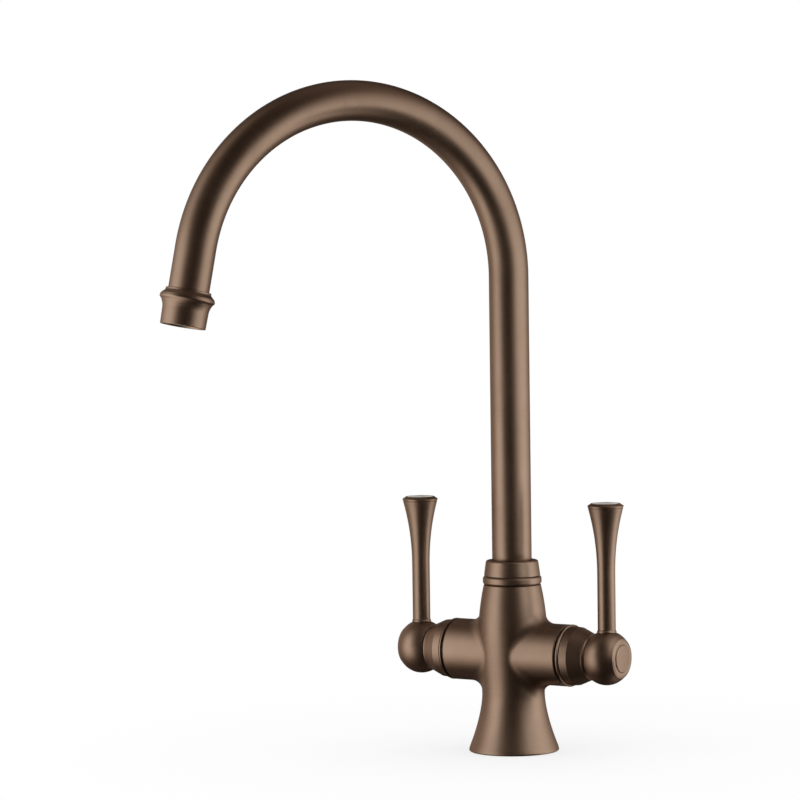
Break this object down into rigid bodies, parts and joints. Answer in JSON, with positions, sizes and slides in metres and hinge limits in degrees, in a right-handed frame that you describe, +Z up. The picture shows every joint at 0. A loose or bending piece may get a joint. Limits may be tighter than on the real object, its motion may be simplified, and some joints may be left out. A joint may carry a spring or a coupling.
{
  "type": "two handle kitchen faucet",
  "caption": "Deck-mounted kitchen mixer tap with a tall swivelling swan-neck spout and a trumpet-shaped quarter-turn lever on each side of a flared body.",
  "frame": {"origin": "centre of the underside of the body, on the worktop", "axes": "+Z up the column, X along the handle axis with hot at -X and cold at +X, -Y towards the user"},
  "size_m": [0.1777, 0.2145, 0.3721],
  "materials": {
    "bronze": "satin brushed dark bronze plating on brass",
    "brass": "machined raw brass",
    "steel": "stainless, lightly brushed",
    "ceramic": "lapped alumina",
    "index": "glossy off-white",
    "rubber": "matt black",
    "nylon": "natural",
    "aerator": "moulded grey"
  },
  "bodies": {
    "body": {"body_casting": "bronze", "base_gasket": "rubber", "collar_bead": "bronze", "collar_sleeve": "bronze", "lower_glide_washer": "nylon", "upper_glide_washer": "nylon", "cold_seat_washer": "rubber", "cold_fixed_disc": "ceramic", "cold_valve_body": "brass", "cold_shroud_ring": "bronze", "cold_shroud": "bronze", "hot_seat_washer": "rubber", "hot_fixed_disc": "ceramic", "hot_valve_body": "brass", "hot_shroud_ring": "bronze", "hot_shroud": "bronze"},
    "spout": {"spout_tube": "bronze", "spout_spigot": "brass", "spout_o_ring_1": "rubber", "spout_o_ring_2": "rubber", "spout_keeper_ring": "steel", "nozzle_shell": "bronze", "aerator_washer": "rubber", "aerator_body": "aerator", "aerator_screen": "steel"},
    "cold_handle": {"cold_moving_disc": "ceramic", "cold_spindle": "brass", "cold_spindle_o_ring": "rubber", "cold_spindle_clip": "steel", "cold_hub": "bronze", "cold_handle_screw": "steel", "cold_hub_cap": "bronze", "cold_lever": "bronze", "cold_index_disc": "index"},
    "hot_handle": {"hot_moving_disc": "ceramic", "hot_spindle": "brass", "hot_spindle_o_ring": "rubber", "hot_spindle_clip": "steel", "hot_hub": "bronze", "hot_handle_screw": "steel", "hot_hub_cap": "bronze", "hot_lever": "bronze", "hot_index_disc": "index"}
  },
  "joints": [
    {"name": "spout_swivel", "type": "hinge", "parent": "body", "child": "spout", "pos_m": [0, 0, 0.09], "axis": [0, 0, 1], "continuous": true},
    {"name": "cold_handle_turn", "type": "hinge", "parent": "body", "child": "cold_handle", "pos_m": [0.0604, 0, 0.055], "axis": [1, 0, 0], "range_deg": [0, 90]},
    {"name": "hot_handle_turn", "type": "hinge", "parent": "body", "child": "hot_handle", "pos_m": [-0.0604, 0, 0.055], "axis": [1, 0, 0], "range_deg": [0, 90]}
  ]
}
